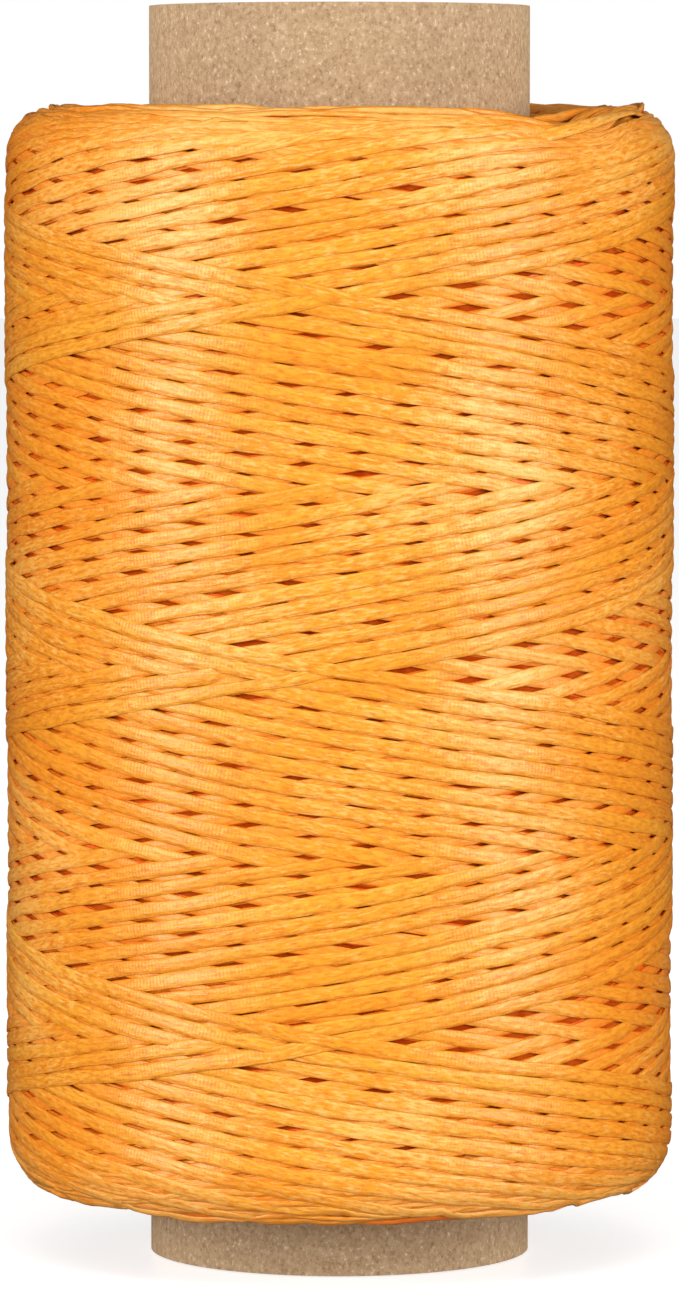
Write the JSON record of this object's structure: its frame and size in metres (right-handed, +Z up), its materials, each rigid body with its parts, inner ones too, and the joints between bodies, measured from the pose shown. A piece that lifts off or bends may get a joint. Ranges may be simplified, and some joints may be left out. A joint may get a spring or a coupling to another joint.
{
  "type": "waxed thread spool",
  "caption": "Straight cardboard tube with a cross-wound package of flat waxed sewing thread for hand stitching leather; both tube ends stand clear of the winding.",
  "frame": {"origin": "centre of the tube's lower end, which is the face the spool stands on", "axes": "+Z up along the tube's bore; X and Y lie in the lower end's plane, and the spool is round about Z"},
  "size_m": [0.0464, 0.0464, 0.087],
  "materials": {
    "paper_liner": "matte rolled paper",
    "grey_board": "matte cut board edge",
    "kraft_board": "matte kraft paper with short fibres",
    "waxed_thread": "satin waxed flat thread"
  },
  "bodies": {
    "root": {"tube_inner_liner": "paper_liner", "tube_first_ply": "grey_board", "tube_second_ply": "grey_board", "tube_third_ply": "grey_board", "tube_outer_ply": "kraft_board", "wound_thread_body": "waxed_thread", "wound_thread_outer_layer": "waxed_thread"}
  },
  "joints": []
}
